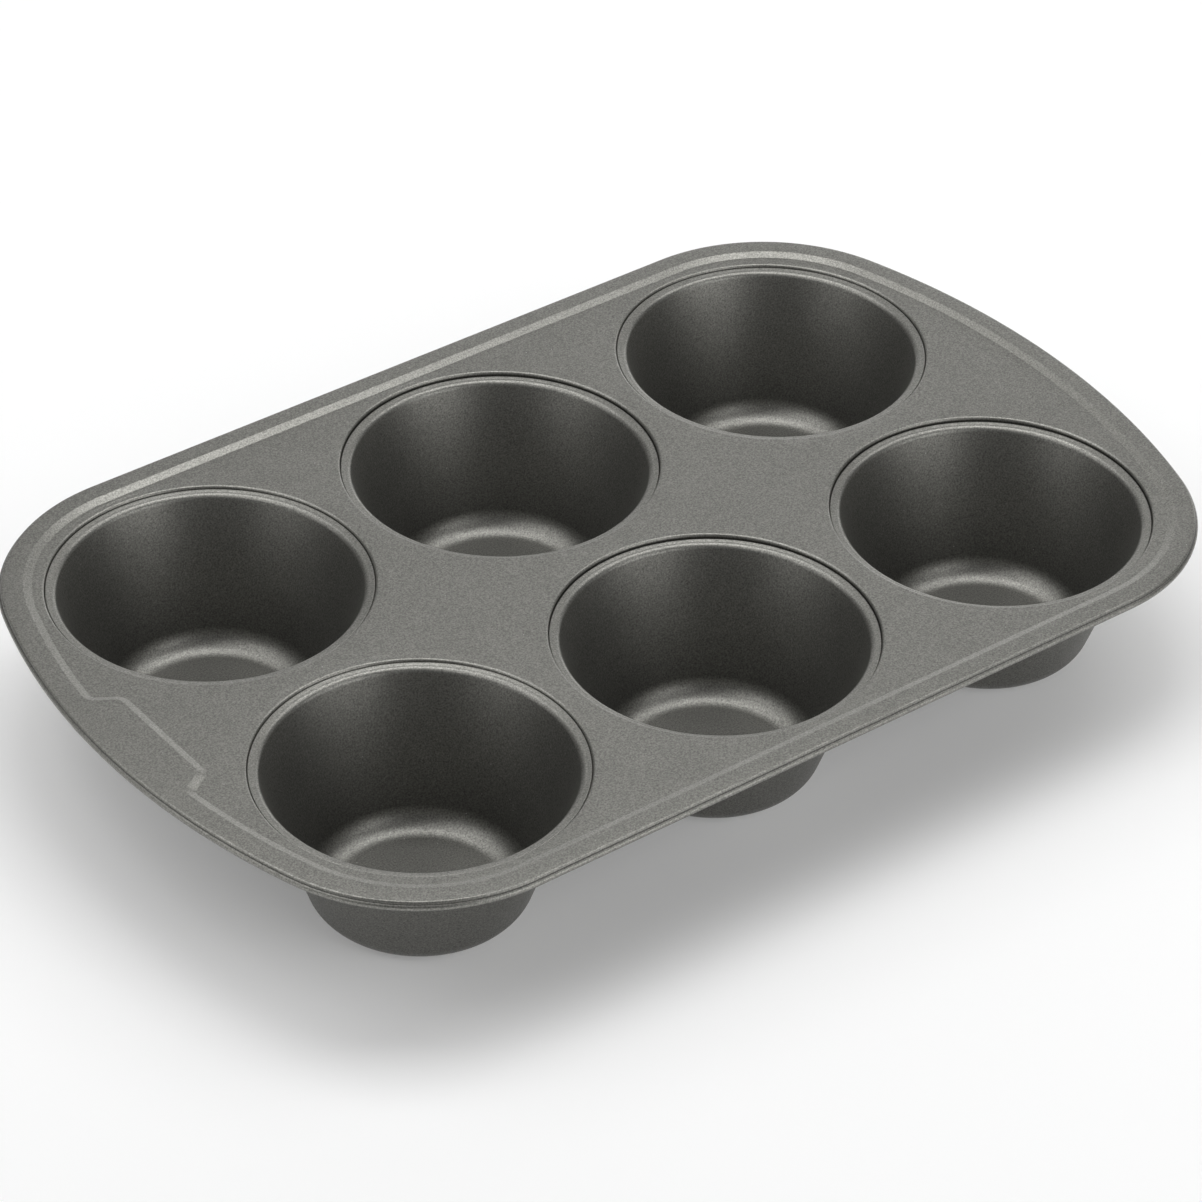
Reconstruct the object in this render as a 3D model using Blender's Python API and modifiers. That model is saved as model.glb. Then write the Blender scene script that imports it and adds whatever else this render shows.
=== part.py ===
"""Jumbo muffin pan: a stepped sheet steel tray and six deep drawn cups, joined by lock seams.

Metres, +Z up. The origin lies under the middle of the pan, on the plane that the cup floors
stand on. X runs along the pan, and the wider panel of the border is at the -X end.
"""
import math

import bmesh
import bpy
import numpy as np

# Rows and columns of cups, from -Y to +Y and from -X to +X
ROWS = ("front", "back")
COLUMNS = ("left", "middle", "right")

# Both sheets, and the play between them in the seam
SHEET = 0.0006
SEAM_GAP = 0.0003

# Plate: holes for the cups, and the flat that is left round them
HOLE_RADIUS = 0.0553
WEB_ALONG = 0.0094
WEB_ACROSS = 0.0099
END_LEDGE = 0.0135
SIDE_LEDGE = 0.00345

# Border: a step up to a flat band
STEP_RISE = 0.0011
STEP_RUN = 0.0029
BORDER_BAND = 0.00565

# Rim: a bend down from the border, a short neck and a rolled bead, radii of the outer faces
RIM_BEND_RADIUS = 0.0012
RIM_NECK = 0.0006
BEAD_RADIUS = 0.00117
CURL_TURN = math.radians(270.0)

# Outline, measured on the outermost line of the bead
CORNER_RADIUS = 0.0663
END_BOW_RADIUS = 0.2726

# Wider panel of the border at the -X end
PANEL_LENGTH = 0.0532
PANEL_DEPTH = 0.0118
PANEL_CORNER_RUN = 0.010

# Cups, sizes of the inner face
CUP_HEIGHT = 0.0537
FLOOR_RADIUS = 0.0295
FLOOR_FILLET = 0.0079
MOUTH_BEND_RADIUS = 0.0028
SHOULDER_RADIUS = 0.00075
FLANGE_DROP = 0.0010

# Lock seam: the tray's collar turns out in a hook, and the cup's edge folds round the hook
LIP_RADIUS = 0.0009
HOOK_DROP = 0.0035
HOOK_LENGTH = 0.0018
FOLD_CLEARANCE = 0.0006

# Facets
CUP_SEGMENTS = 26
CORNER_SEGMENTS = 7
END_SEGMENTS = 6
SIDE_SEGMENTS = 2
PANEL_CORNER_SEGMENTS = 4
STEP_SEGMENTS = 3
FILLET_SEGMENTS = 3
MOUTH_SEGMENTS = 3
BEND_SEGMENTS = 2
FOLD_SEGMENTS = 3
CURL_SEGMENTS = 6
MERGE_DISTANCE = 0.00001

# Finish: warm grey non-stick coating on steel
TRAY_COLOUR = (0.205, 0.202, 0.183, 1.0)
CUP_COLOUR = (0.195, 0.192, 0.174, 1.0)
COATING_ROUGHNESS = 0.42
COATING_METALLIC = 0.55

# Values that follow from the sizes above
HALF_SHEET = SHEET / 2
PITCH_ALONG = 2 * HOLE_RADIUS + WEB_ALONG
PITCH_ACROSS = 2 * HOLE_RADIUS + WEB_ACROSS
RIM_BEND_MID = RIM_BEND_RADIUS - HALF_SHEET
STEP_TOP_INSET = BEAD_RADIUS + RIM_BEND_MID + BORDER_BAND
STEP_FOOT_INSET = STEP_TOP_INSET + STEP_RUN
HALF_LENGTH = (len(COLUMNS) - 1) / 2 * PITCH_ALONG + HOLE_RADIUS + END_LEDGE + STEP_FOOT_INSET
HALF_WIDTH = (len(ROWS) - 1) / 2 * PITCH_ACROSS + HOLE_RADIUS + SIDE_LEDGE + STEP_FOOT_INSET
PLATE_TOP = CUP_HEIGHT
PLATE_MID = PLATE_TOP - HALF_SHEET
BORDER_MID = PLATE_MID + STEP_RISE
FLANGE_TOP = PLATE_TOP - FLANGE_DROP
COLLAR_MID_RADIUS = HOLE_RADIUS + HALF_SHEET
HOOK_END_RADIUS = COLLAR_MID_RADIUS + HOOK_LENGTH
HOOK_MID = PLATE_TOP - HOOK_DROP
SKIRT_MID_RADIUS = HOLE_RADIUS - SEAM_GAP - HALF_SHEET


def clear_scene():
    """Remove every object, so that the script can run again."""
    for old in list(bpy.data.objects):
        bpy.data.objects.remove(old, do_unlink=True)


def pan_collection():
    """Return the collection that holds the pan."""
    collection = bpy.data.collections.get("jumbo_muffin_pan")
    if collection is None:
        collection = bpy.data.collections.new("jumbo_muffin_pan")
        bpy.context.scene.collection.children.link(collection)
    return collection


def coating(name, colour):
    """Return the non-stick coating as a Principled material."""
    material = bpy.data.materials.new(name)
    material.use_nodes = True
    shader = material.node_tree.nodes["Principled BSDF"]
    shader.inputs["Base Color"].default_value = colour
    shader.inputs["Roughness"].default_value = COATING_ROUGHNESS
    shader.inputs["Metallic"].default_value = COATING_METALLIC
    return material


def arc(centre, radius, start, end, segments):
    """Points on an arc from one angle to another, both ends included."""
    angles = np.linspace(start, end, segments + 1)
    return [(centre[0] + radius * math.cos(a), centre[1] + radius * math.sin(a)) for a in angles]


def cup_places():
    """Name and axis of each cup, row by row."""
    places = {}
    for row, row_name in enumerate(ROWS):
        for column, column_name in enumerate(COLUMNS):
            x = (column - (len(COLUMNS) - 1) / 2) * PITCH_ALONG
            y = (row - (len(ROWS) - 1) / 2) * PITCH_ACROSS
            places[f"cup_{row_name}_{column_name}"] = (x, y)
    return places


def panel_end_angles(end_angle):
    """Angles along the -X end arc, close together where the panel's corners are."""
    low = (PANEL_LENGTH - PANEL_CORNER_RUN) / 2
    high = (PANEL_LENGTH + PANEL_CORNER_RUN) / 2
    end = END_BOW_RADIUS * math.sin(end_angle)
    corner = np.linspace(low, high, PANEL_CORNER_SEGMENTS + 1)
    half = np.concatenate([[0.0], corner, [(high + end) / 2, end]])
    ys = np.concatenate([-half[:0:-1], half])
    return np.arcsin(ys / END_BOW_RADIUS)


def outline_stations():
    """Stations round the outline, each the centre, radius and angle of the arc that it lies on.

    A quarter of the outline is half a straight side, a corner arc and half a bowed end, all
    tangent. A station on a straight side is the top of a corner arc about its own centre. Each
    stretch leaves its last point to the next one, so that the loop closes.
    """
    corner_y = HALF_WIDTH - CORNER_RADIUS
    bow = END_BOW_RADIUS - CORNER_RADIUS
    end_x = HALF_LENGTH - END_BOW_RADIUS
    end_angle = math.asin(corner_y / bow)
    corner_x = end_x + bow * math.cos(end_angle)
    square = math.pi / 2

    def corner(x_side, y_side, start, end):
        angles = np.linspace(start, end, CORNER_SEGMENTS + 1)[:-1]
        return [((corner_x * x_side, corner_y * y_side), CORNER_RADIUS, a) for a in angles]

    def side(y_side):
        xs = np.linspace(corner_x * y_side, -corner_x * y_side, SIDE_SEGMENTS + 1)[:-1]
        return [((x, corner_y * y_side), CORNER_RADIUS, square * y_side) for x in xs]

    def end(x_side, turn, angles):
        return [((end_x * x_side, 0.0), END_BOW_RADIUS, turn + a) for a in angles[:-1]]

    stations = end(1, 0.0, np.linspace(-end_angle, end_angle, END_SEGMENTS + 1))
    stations += corner(1, 1, end_angle, square)
    stations += side(1)
    stations += corner(-1, 1, square, math.pi - end_angle)
    stations += end(-1, math.pi, panel_end_angles(end_angle))
    stations += corner(-1, -1, math.pi + end_angle, 3 * square)
    stations += side(-1)
    stations += corner(1, -1, 3 * square, 2 * math.pi - end_angle)
    return stations


def inset_point(station, inset):
    """Point of a station moved inwards, square to the outline."""
    centre, radius, angle = station
    return np.array([centre[0] + (radius - inset) * math.cos(angle),
                     centre[1] + (radius - inset) * math.sin(angle)])


def panel_share(y):
    """Share of the panel's depth at a place along the -X end: full in the middle, eased out."""
    reach = (PANEL_LENGTH + PANEL_CORNER_RUN) / 2 - abs(y)
    share = min(max(reach / PANEL_CORNER_RUN, 0.0), 1.0)
    return share * share * (3.0 - 2.0 * share)


def step_line(stations):
    """Middle of the step in plan, with its outward normals.

    It follows the outline, and at the -X end it runs straight across inside the panel.
    """
    middle_inset = STEP_TOP_INSET + STEP_RUN / 2
    panel_x = -(HALF_LENGTH - middle_inset - PANEL_DEPTH)
    points = np.array([inset_point(station, middle_inset) for station in stations])
    for point in points:
        if point[0] < 0:
            point[0] += (panel_x - point[0]) * panel_share(point[1])
    along = np.roll(points, -1, axis=0) - np.roll(points, 1, axis=0)
    along /= np.linalg.norm(along, axis=1)[:, None]
    return points, np.column_stack([along[:, 1], -along[:, 0]])


def step_rings(stations):
    """Rings from the plate up to the border, an eased rise square to the step line."""
    points, normals = step_line(stations)
    rings = []
    for share in np.linspace(0.0, 1.0, STEP_SEGMENTS + 1):
        rise = share * share * (3.0 - 2.0 * share)
        plan = points + normals * STEP_RUN * (share - 0.5)
        rings.append([(x, y, PLATE_MID + STEP_RISE * rise) for x, y in plan])
    return rings


def rim_section():
    """Middle of the sheet over the rim, as pairs of inset from the outline and height.

    The sheet bends down from the border into a neck. The bead hangs under the neck, curled
    outwards, down and back in, so that its raw edge is hidden under the border.
    """
    bend_height = BORDER_MID - RIM_BEND_MID
    curl = BEAD_RADIUS - HALF_SHEET
    bead_height = bend_height - RIM_NECK - curl
    section = arc((BEAD_RADIUS + RIM_BEND_MID, bend_height), RIM_BEND_MID,
                  math.pi / 2, math.pi, BEND_SEGMENTS)
    section += arc((BEAD_RADIUS, bead_height), curl,
                   math.pi / 2, math.pi / 2 + CURL_TURN, CURL_SEGMENTS)
    return section


def rim_rings(stations):
    """Rings of the bend, the neck and the bead."""
    rings = []
    for inset, height in rim_section():
        plan = [inset_point(station, inset) for station in stations]
        rings.append([(x, y, height) for x, y in plan])
    return rings


def collar_section():
    """Middle of the tray's sheet in a hole, as pairs of radius and height.

    From the plate a lip bends down into the collar, which turns out into the hook.
    """
    bend = LIP_RADIUS - HALF_SHEET
    section = arc((COLLAR_MID_RADIUS + bend, PLATE_MID - bend), bend,
                  math.pi / 2, math.pi, BEND_SEGMENTS)
    section.append((COLLAR_MID_RADIUS, HOOK_MID))
    section.append((HOOK_END_RADIUS, HOOK_MID))
    return section


def collar_rings(place):
    """Rings of one hole's lip, collar and hook."""
    angles = np.arange(CUP_SEGMENTS) * 2 * math.pi / CUP_SEGMENTS
    rings = []
    for radius, height in collar_section():
        xs = place[0] + radius * np.cos(angles)
        ys = place[1] + radius * np.sin(angles)
        rings.append([(x, y, height) for x, y in zip(xs, ys)])
    return rings


def bowl_section():
    """Middle of a cup's sheet from the floor's centre to the top of the skirt.

    The wall is the common tangent of the floor's fillet and the bend at the mouth, which
    leave it on opposite sides. Pairs of radius and height.
    """
    fillet = FLOOR_FILLET + HALF_SHEET
    mouth = MOUTH_BEND_RADIUS - HALF_SHEET
    shoulder = SHOULDER_RADIUS - HALF_SHEET
    fillet_centre = (FLOOR_RADIUS, HALF_SHEET + fillet)
    mouth_centre = (SKIRT_MID_RADIUS - shoulder, FLANGE_TOP - MOUTH_BEND_RADIUS)
    across = mouth_centre[0] - fillet_centre[0]
    up = mouth_centre[1] - fillet_centre[1]
    wall_angle = math.atan2(up, across) + math.asin((fillet + mouth) / math.hypot(across, up))
    square = math.pi / 2

    section = [(0.0, HALF_SHEET)]
    section += arc(fillet_centre, fillet, -square, wall_angle - square, FILLET_SEGMENTS)
    section += arc(mouth_centre, mouth, wall_angle + square, square, MOUTH_SEGMENTS)
    section.append((SKIRT_MID_RADIUS, FLANGE_TOP - SHOULDER_RADIUS))
    return section


def fold_section():
    """Middle of a cup's edge: under the tray's hook, round its end and back over it."""
    fold = SHEET + SEAM_GAP
    section = [(SKIRT_MID_RADIUS, HOOK_MID - fold)]
    section += arc((HOOK_END_RADIUS, HOOK_MID), fold, -math.pi / 2, math.pi / 2, FOLD_SEGMENTS)
    section.append((COLLAR_MID_RADIUS + HALF_SHEET + FOLD_CLEARANCE, HOOK_MID + fold))
    return section


def loft(mesh, rings):
    """Join closed rings of equal length with quads, and return the edges of the first ring."""
    rows = [[mesh.verts.new(point) for point in ring] for ring in rings]
    for near, far in zip(rows, rows[1:]):
        for i in range(len(near)):
            j = (i + 1) % len(near)
            mesh.faces.new((near[i], far[i], far[j], near[j]))
    first = rows[0]
    return [mesh.edges.get((first[i - 1], first[i])) for i in range(len(first))]


def add_sheet_thickness(obj):
    """Give a middle surface the thickness of the sheet, half to each side."""
    shell = obj.modifiers.new("sheet", "SOLIDIFY")
    shell.thickness = SHEET
    shell.offset = 0.0
    shell.use_even_offset = True
    shell.use_quality_normals = True


def build_tray(collection):
    """Model the tray: stepped plate, rolled rim and a hooked collar for each cup."""
    stations = outline_stations()
    mesh = bmesh.new()
    plate_edges = loft(mesh, step_rings(stations) + rim_rings(stations))
    for place in cup_places().values():
        plate_edges += loft(mesh, collar_rings(place))
    bmesh.ops.triangle_fill(mesh, use_beauty=True, use_dissolve=False, edges=plate_edges)
    bmesh.ops.recalc_face_normals(mesh, faces=mesh.faces)
    data = bpy.data.meshes.new("tray")
    mesh.to_mesh(data)
    mesh.free()
    data.shade_smooth()
    data.materials.append(coating("tray_coating", TRAY_COLOUR))
    tray = bpy.data.objects.new("tray", data)
    collection.objects.link(tray)
    add_sheet_thickness(tray)
    return tray


def cup_section_mesh():
    """Return a cup's section as an open chain of edges, ready to be turned."""
    section = bowl_section() + fold_section()
    edges = [(i, i + 1) for i in range(len(section) - 1)]
    data = bpy.data.meshes.new("cup_section")
    data.from_pydata([(radius, 0.0, height) for radius, height in section], edges, [])
    data.materials.append(coating("cup_coating", CUP_COLOUR))
    return data


def build_cup(name, place, data, collection):
    """Turn the section about the cup's axis and give it the sheet's thickness."""
    cup = bpy.data.objects.new(name, data)
    cup.location = (place[0], place[1], 0.0)
    collection.objects.link(cup)
    turn = cup.modifiers.new("turn", "SCREW")
    turn.steps = CUP_SEGMENTS
    turn.render_steps = CUP_SEGMENTS
    turn.use_merge_vertices = True
    turn.merge_threshold = MERGE_DISTANCE
    turn.use_smooth_shade = True
    add_sheet_thickness(cup)
    return cup


def main():
    """Build the pan, with every piece under one empty at its origin."""
    clear_scene()
    collection = pan_collection()
    origin = bpy.data.objects.new("pan_origin", None)
    collection.objects.link(origin)
    build_tray(collection).parent = origin
    data = cup_section_mesh()
    for name, place in cup_places().items():
        build_cup(name, place, data, collection).parent = origin


main()
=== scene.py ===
"""Jumbo muffin pan: smooth coated sheet steel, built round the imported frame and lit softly.

Metres, +Z up, in the frame's own axes: X runs along the pan, and the border's wider panel is at
the -X end. The tray and the six cups are closed shells of bent sheet. Each is a section, both
faces of the sheet laid along its middle line, carried along the pan's outline or round a cup.
"""
import logging
import math
from abc import ABC, abstractmethod
from dataclasses import dataclass, field
from enum import Enum

import bmesh
import bpy
import numpy as np
from mathutils import Matrix, Vector


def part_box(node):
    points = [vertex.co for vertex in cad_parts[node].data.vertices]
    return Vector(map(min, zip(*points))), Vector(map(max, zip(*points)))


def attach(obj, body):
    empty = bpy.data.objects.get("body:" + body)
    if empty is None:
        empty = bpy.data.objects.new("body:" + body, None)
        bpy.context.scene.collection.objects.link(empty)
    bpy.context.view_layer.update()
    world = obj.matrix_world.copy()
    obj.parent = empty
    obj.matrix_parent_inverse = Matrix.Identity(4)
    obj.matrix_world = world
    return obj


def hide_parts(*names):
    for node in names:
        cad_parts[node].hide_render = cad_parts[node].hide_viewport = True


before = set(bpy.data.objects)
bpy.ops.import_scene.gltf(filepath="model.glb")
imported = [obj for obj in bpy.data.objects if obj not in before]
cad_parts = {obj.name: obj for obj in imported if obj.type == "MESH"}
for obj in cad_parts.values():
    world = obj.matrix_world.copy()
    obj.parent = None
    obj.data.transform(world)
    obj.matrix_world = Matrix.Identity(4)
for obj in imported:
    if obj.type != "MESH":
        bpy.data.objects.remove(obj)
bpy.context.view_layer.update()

LOG = logging.getLogger("pan")
Socket = bpy.types.NodeSocket
BODY = "root"
QUARTER_TURN = math.pi / 2
# Points closer than WELD are made one. Edges that bend more than SOFT_ANGLE are shaded sharp.
WELD = 2e-6
SOFT_ANGLE = math.radians(50.0)
# Painted shade at the start, middle and end of a bend that is deep in a crevice.
DEEP_SHADE = (-1.0, -1.0, -1.0)
# Values between which nearly all of the grain's and the blotches' noise lies.
GRAIN_SPAN = (0.25, 0.75)
BLOTCH_SPAN = (0.3, 0.7)


class Row(Enum):
    """Rows of cups, from the camera's side of the pan to the far one."""

    FRONT = "front"
    BACK = "back"


class Column(Enum):
    """Columns of cups, from the panel's end of the pan to the other."""

    LEFT = "left"
    MIDDLE = "middle"
    RIGHT = "right"


class Slot(Enum):
    """Material slots of the record."""

    TRAY = "tray_coating"
    CUP = "cup_coating"


# How far the top of each cup's flange lies below the plate, as the photograph shows it.
SEAT_DROPS = {
    (Row.FRONT, Column.LEFT): 0.00085, (Row.FRONT, Column.MIDDLE): 0.0016,
    (Row.FRONT, Column.RIGHT): 0.0016, (Row.BACK, Column.LEFT): 0.0010,
    (Row.BACK, Column.MIDDLE): 0.0016, (Row.BACK, Column.RIGHT): 0.0010,
}


def cup_node(row: Row, column: Column) -> str:
    """Return the name of a cup's node in the frame."""
    return f"cup_{row.value}_{column.value}"


def cup_axis(row: Row, column: Column) -> np.ndarray:
    """Return where a cup's axis stands in plan: the middle of its node's box."""
    low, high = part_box(cup_node(row, column))
    return (np.array(low) + np.array(high))[:2] / 2


def eased(share: np.ndarray) -> np.ndarray:
    """Return a share from 0 to 1 eased at both ends: three squares of it less two cubes."""
    share = np.clip(share, 0.0, 1.0)
    return share * share * (3.0 - 2.0 * share)


def grid_faces(rows: int, columns: int, closed: bool) -> np.ndarray:
    """Number the quads between the points of a grid.

    Args:
        rows: Rows of points, each of them one after another in the list of points.
        columns: Points in a row.
        closed: Whether each row's last point joins its first.

    Returns:
        Four point numbers for each quad.
    """
    across = np.arange(columns if closed else columns - 1)
    near = np.arange(rows - 1)[:, None] * columns + across
    along = np.arange(rows - 1)[:, None] * columns + (across + 1) % columns
    return np.stack([near, along, along + columns, near + columns], axis=-1).reshape(-1, 4)


@dataclass
class Shell:
    """Points and faces of a piece while it is put together.

    Attributes:
        points: Arrays of points, three numbers each.
        edges: For each array of points, the light painted at each point: 1 for a
        painted highlight on a bend, 0 on open faces, -1 for painted shade deep in a crevice.
        faces: Lists of faces, numbered over all the points.
        count: How many points there are so far.
    """

    points: list = field(default_factory=list)
    edges: list = field(default_factory=list)
    faces: list = field(default_factory=list)
    count: int = 0

    def add(self, points: np.ndarray, edges: np.ndarray, faces: np.ndarray) -> None:
        """Take in some points and the faces between them.

        Args:
            points: Points, three numbers each.
            edges: The light painted at each of them.
            faces: Faces, numbered over these points alone.
        """
        self.points.append(points)
        self.edges.append(edges)
        self.faces.append(faces + self.count)
        self.count += len(points)

    def mirror_in_y(self) -> None:
        """Add the mirror image across the XZ plane, its faces turned over."""
        points = np.vstack(self.points) * (1.0, -1.0, 1.0)
        faces = np.vstack(self.faces)[:, ::-1]
        self.add(points, np.concatenate(self.edges), faces)

    def piece(self, name: str) -> bpy.types.Object:
        """Weld the points, turn all faces outwards and make the object.

        Args:
            name: The piece's name.

        Returns:
            The new object, at the origin, with its place in its mesh.
        """
        points = np.vstack(self.points)
        faces = [face for part in self.faces for face in part.tolist()]
        data = bpy.data.meshes.new(name)
        data.from_pydata(points.tolist(), [], faces)
        # Light painted at each point: highlights on bends, shade in crevices and on the cups'
        # outsides.
        light_paint = data.attributes.new("edge", "FLOAT", "POINT")
        light_paint.data.foreach_set("value", np.concatenate(self.edges).astype(np.float32))
        mesh = bmesh.new()
        mesh.from_mesh(data)
        bmesh.ops.remove_doubles(mesh, verts=mesh.verts, dist=WELD)
        bmesh.ops.recalc_face_normals(mesh, faces=mesh.faces)
        mesh.to_mesh(data)
        mesh.free()
        data.shade_smooth()
        data.set_sharp_from_angle(angle=SOFT_ANGLE)
        piece = bpy.data.objects.new(name, data)
        bpy.context.scene.collection.objects.link(piece)
        return piece


@dataclass
class SheetSection:
    """Both faces of a bent sheet in section, laid along its middle line.

    The line is a chain of points and arcs, tangent to each other, with straight stretches in
    the gaps. Each face lies half the sheet off the line.

    Attributes:
        half_sheet: Half the sheet's thickness.
        under: Light painted on the whole lower face, -1 for painted shade to 1 for a highlight.
        upper: Points of the upper face, across and up.
        lower: Points of the lower face.
        light_paint: Light painted on the upper face at each point: -1 painted shade, 1 a highlight.
    """

    half_sheet: float
    under: float = 0.0
    upper: list = field(default_factory=list)
    lower: list = field(default_factory=list)
    light_paint: list = field(default_factory=list)

    def point(self, place: tuple, look: tuple, edge: float = 0.0) -> None:
        """Add one point, the way its upper face looks, and the light painted there.

        Args:
            place: Across and up.
            look: Unit direction of the upper face.
            edge: Light painted there, -1 painted shade to 1 painted highlight.
        """
        offset = self.half_sheet * np.array([look])
        self.upper.append(np.array([place]) + offset)
        self.lower.append(np.array([place]) - offset)
        self.light_paint.append(np.array([edge]))

    def bend(self, centre: tuple, radius: float, start: float, end: float, steps: int,
             outside: bool, edges: tuple = (0.0, 0.0, 0.0)) -> None:
        """Add an arc: centre plus radius times the cosine and sine of evenly spaced angles.

        Where the bend is tighter than the sheet, its inside is the one corner in which the
        inner faces of the stretches before and after it meet. Seen from the middle of the arc
        it lies behind the centre, by the inner radius over the cosine of half the turn.

        Args:
            centre: The arc's centre, across and up.
            radius: Its radius to the middle of the sheet.
            start: First angle in degrees.
            end: Last angle in degrees.
            steps: Stretches that it is cut into.
            outside: Whether the upper face is on the outside of the bend.
            edges: Light painted at the start, the middle and the end of the arc.
        """
        shares = np.linspace(0.0, 1.0, steps + 1)
        angles = np.radians(start + (end - start) * shares)
        rays = np.column_stack([np.cos(angles), np.sin(angles)])
        outer = np.array(centre) + (radius + self.half_sheet) * rays
        inner_radius = radius - self.half_sheet
        inner = np.array(centre) + inner_radius * rays
        if inner_radius < 0.0:
            reach = inner_radius / math.cos((angles[-1] - angles[0]) / 2)
            middle = (angles[-1] + angles[0]) / 2
            inner[:] = np.array(centre) + reach * np.array([math.cos(middle), math.sin(middle)])
        self.upper.append(outer if outside else inner)
        self.lower.append(inner if outside else outer)
        self.light_paint.append(np.interp(shares, (0.0, 0.5, 1.0), edges))

    def faces(self) -> tuple:
        """Return the points of the upper face and then those of the lower one, both ways out."""
        return np.vstack(self.upper), np.vstack(self.lower)

    def loop(self) -> tuple:
        """Return the section's boundary, out on the upper face and back on the lower one.

        Returns:
            Its points, and the light painted at each.
        """
        upper, lower = self.faces()
        edges = np.concatenate(self.light_paint)
        below = np.full(len(lower), self.under)
        return np.vstack([upper, lower[::-1]]), np.concatenate([edges, below])


@dataclass(frozen=True)
class Seam:
    """Lock seam between the tray and a cup: the sizes that both sheets share.

    Heights are over the plane that the cups stand on.

    Attributes:
        plate_top: Height of the plate.
        sheet: Thickness of both sheets.
        gap: Play between them.
        hole_radius: Radius of the hole inside the collar.
        hook_drop: How far the middle of the hook lies below the plate.
        hook_length: How far the hook reaches out from the collar's middle.
        hook_bend: Radius of the bend from the collar into the hook, to the middle of the sheet.
        fold_clearance: Room between the cup's folded edge and the collar.
    """

    plate_top: float
    sheet: float = 0.0006
    gap: float = 0.0001
    hole_radius: float = 0.0553
    hook_drop: float = 0.0035
    hook_length: float = 0.0018
    hook_bend: float = 0.00045
    fold_clearance: float = 0.0006

    @property
    def half_sheet(self) -> float:
        """Half the sheet's thickness."""
        return self.sheet / 2

    @property
    def collar_radius(self) -> float:
        """Radius of the tray's collar, to the middle of the sheet."""
        return self.hole_radius + self.half_sheet

    @property
    def hook_end(self) -> float:
        """Radius at which the tray's hook ends."""
        return self.collar_radius + self.hook_length

    @property
    def hook_height(self) -> float:
        """Height of the hook, to the middle of the sheet."""
        return self.plate_top - self.hook_drop

    @property
    def hook_bend_centre(self) -> tuple:
        """Centre of the bends of both sheets, where the collar turns out into the hook."""
        return self.collar_radius + self.hook_bend, self.hook_height + self.hook_bend

    @property
    def fold(self) -> float:
        """Distance between the middles of two sheets that lie on each other."""
        return self.sheet + self.gap


@dataclass
class Outline:
    """Outermost line of the pan in plan, by the length along it from the middle of the +X end.

    A quarter is half a bowed end, a corner and half a straight side, arcs and a line that are
    tangent to each other. The other three quarters are its mirror images.

    Attributes:
        half_length: Half the pan's length.
        half_width: Half its width.
        corner_radius: Radius of its corners.
        bow_radius: Radius of its bowed ends.
    """

    half_length: float
    half_width: float
    corner_radius: float = 0.0663
    bow_radius: float = 0.2726

    def __post_init__(self) -> None:
        """Work out where the arcs' centres are and how long each stretch is."""
        self.bow_x = self.half_length - self.bow_radius
        self.corner_y = self.half_width - self.corner_radius
        between = self.bow_radius - self.corner_radius
        self.bow_angle = math.asin(self.corner_y / between)
        self.corner_x = self.bow_x + between * math.cos(self.bow_angle)
        self.bow_length = self.bow_radius * self.bow_angle
        self.side_start = self.bow_length + self.corner_radius * (QUARTER_TURN - self.bow_angle)
        self.quarter = self.side_start + self.corner_x

    def at(self, lengths: np.ndarray) -> tuple:
        """Find points on the line and the directions square to it.

        Args:
            lengths: Lengths along the line, which may run past either end by a quarter.

        Returns:
            The points in plan, and unit directions out of the pan.
        """
        half = 2 * self.quarter
        folded = half - np.abs(half - np.abs(lengths))
        along = self.quarter - np.abs(self.quarter - folded)
        on_bow = along < self.bow_length
        turn = self.bow_angle + (along - self.bow_length) / self.corner_radius
        angle = np.where(on_bow, along / self.bow_radius, np.minimum(turn, QUARTER_TURN))
        radius = np.where(on_bow, self.bow_radius, self.corner_radius)
        centre_x = np.where(on_bow, self.bow_x, self.corner_x)
        centre_x = centre_x - np.maximum(along - self.side_start, 0.0)
        centre_y = np.where(on_bow, 0.0, self.corner_y)
        out = np.column_stack([np.cos(angle), np.sin(angle)])
        points = np.column_stack([centre_x, centre_y]) + radius[:, None] * out
        flip = np.column_stack([np.where(folded > self.quarter, -1.0, 1.0),
                                np.where((lengths < 0.0) | (lengths > half), -1.0, 1.0)])
        return points * flip, out * flip


class Pressing(ABC):
    """A pressed piece of the pan, which stands in for one node of the frame.

    Attributes:
        node: The node's name.
        slot: The record's slot for the piece's finish.
    """

    node: str
    slot: Slot

    @abstractmethod
    def build(self) -> bpy.types.Object:
        """Make the piece."""

    def place(self, coating: bpy.types.Material) -> None:
        """Make the piece, coat it and stand it in for its node.

        Args:
            coating: Its material.
        """
        piece = self.build()
        piece.data.materials.append(coating)
        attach(piece, BODY)
        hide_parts(self.node)
        LOG.info("%s: %d faces for %s", piece.name, len(piece.data.polygons), self.node)


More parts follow.
